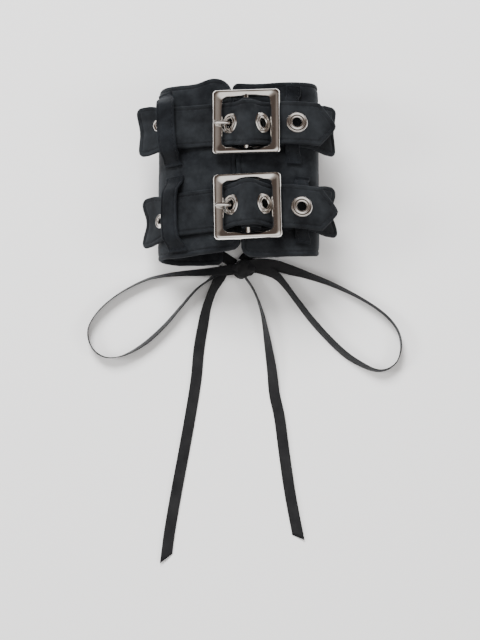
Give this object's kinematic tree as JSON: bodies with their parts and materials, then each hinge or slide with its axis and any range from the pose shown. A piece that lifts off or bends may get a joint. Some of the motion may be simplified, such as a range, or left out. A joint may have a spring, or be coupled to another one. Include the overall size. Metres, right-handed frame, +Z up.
{
  "type": "wristband",
  "caption": "Padded cloth wrist cuff with buckled straps across the front, a laced back and a ribbon bow.",
  "frame": {"origin": "on the floor, under the middle of the cuff, straps and buckles", "axes": "+X across the cuff towards the straps' pointed ends, +Y along the wrist away from the bow, +Z up, out of the buckled front"},
  "size_m": [0.1569, 0.238, 0.0485],
  "materials": {
    "cuff_cloth": "matt",
    "strap_cloth": "matt",
    "nickel": "polished",
    "ribbon": "satin"
  },
  "bodies": {
    "root": {"cuff_left": "cuff_cloth", "cuff_right": "cuff_cloth", "strap_tail_upper": "strap_cloth", "strap_tail_lower": "strap_cloth", "strap_anchor_upper": "strap_cloth", "strap_anchor_lower": "strap_cloth", "keeper_left_upper": "strap_cloth", "keeper_left_lower": "strap_cloth", "keeper_right_upper": "strap_cloth", "keeper_right_lower": "strap_cloth", "buckle_upper": "nickel", "buckle_lower": "nickel", "prong_upper": "nickel", "prong_lower": "nickel", "eyelet_upper_1": "nickel", "eyelet_upper_2": "nickel", "eyelet_upper_3": "nickel", "eyelet_lower_1": "nickel", "eyelet_lower_2": "nickel", "eyelet_lower_3": "nickel", "end_eyelet_upper": "nickel", "end_eyelet_lower": "nickel", "back_eyelet_left_1": "nickel", "back_eyelet_left_2": "nickel", "back_eyelet_left_3": "nickel", "back_eyelet_left_4": "nickel", "back_eyelet_right_1": "nickel", "back_eyelet_right_2": "nickel", "back_eyelet_right_3": "nickel", "back_eyelet_right_4": "nickel", "lacing": "ribbon", "ribbon_knot": "ribbon", "ribbon_loop_left": "ribbon", "ribbon_loop_right": "ribbon", "ribbon_tail_left": "ribbon", "ribbon_tail_right": "ribbon"}
  },
  "joints": []
}
